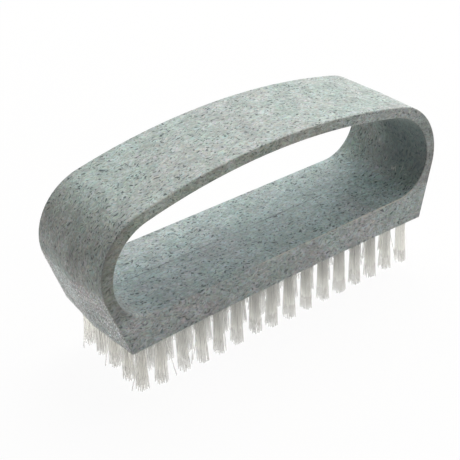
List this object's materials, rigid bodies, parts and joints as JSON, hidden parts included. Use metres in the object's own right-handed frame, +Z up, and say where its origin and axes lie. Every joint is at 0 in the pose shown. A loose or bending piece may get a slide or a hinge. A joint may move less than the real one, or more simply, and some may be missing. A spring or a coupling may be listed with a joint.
{
  "type": "nail brush",
  "caption": "Bow-handled nail scrubbing brush: a moulded block and finger loop in one piece, with staple-set nylon tufts standing in straight rows under the block.",
  "frame": {"origin": "midway between the block's outer corners, on the plane of the trimmed bristle tips", "axes": "+X along the brush, +Y across its width, +Z up through the bow of the handle; the bristles point to -Z"},
  "size_m": [0.095, 0.0278, 0.0479],
  "materials": {
    "speckled_plastic": "satin moulded plastic, grey-green with fine dark stone flecks",
    "nylon_filament": "translucent off-white nylon filaments",
    "staple_wire": "bright flat wire"
  },
  "bodies": {
    "root": {"handle": "speckled_plastic", "tuft_column_01": "nylon_filament", "tuft_column_02": "nylon_filament", "tuft_column_03": "nylon_filament", "tuft_column_04": "nylon_filament", "tuft_column_05": "nylon_filament", "tuft_column_06": "nylon_filament", "tuft_column_07": "nylon_filament", "tuft_column_08": "nylon_filament", "tuft_column_09": "nylon_filament", "tuft_column_10": "nylon_filament", "tuft_column_11": "nylon_filament", "tuft_column_12": "nylon_filament", "tuft_column_13": "nylon_filament", "tuft_column_14": "nylon_filament", "tuft_column_15": "nylon_filament", "tuft_column_16": "nylon_filament", "staple_column_01": "staple_wire", "staple_column_02": "staple_wire", "staple_column_03": "staple_wire", "staple_column_04": "staple_wire", "staple_column_05": "staple_wire", "staple_column_06": "staple_wire", "staple_column_07": "staple_wire", "staple_column_08": "staple_wire", "staple_column_09": "staple_wire", "staple_column_10": "staple_wire", "staple_column_11": "staple_wire", "staple_column_12": "staple_wire", "staple_column_13": "staple_wire", "staple_column_14": "staple_wire", "staple_column_15": "staple_wire", "staple_column_16": "staple_wire"}
  },
  "joints": []
}
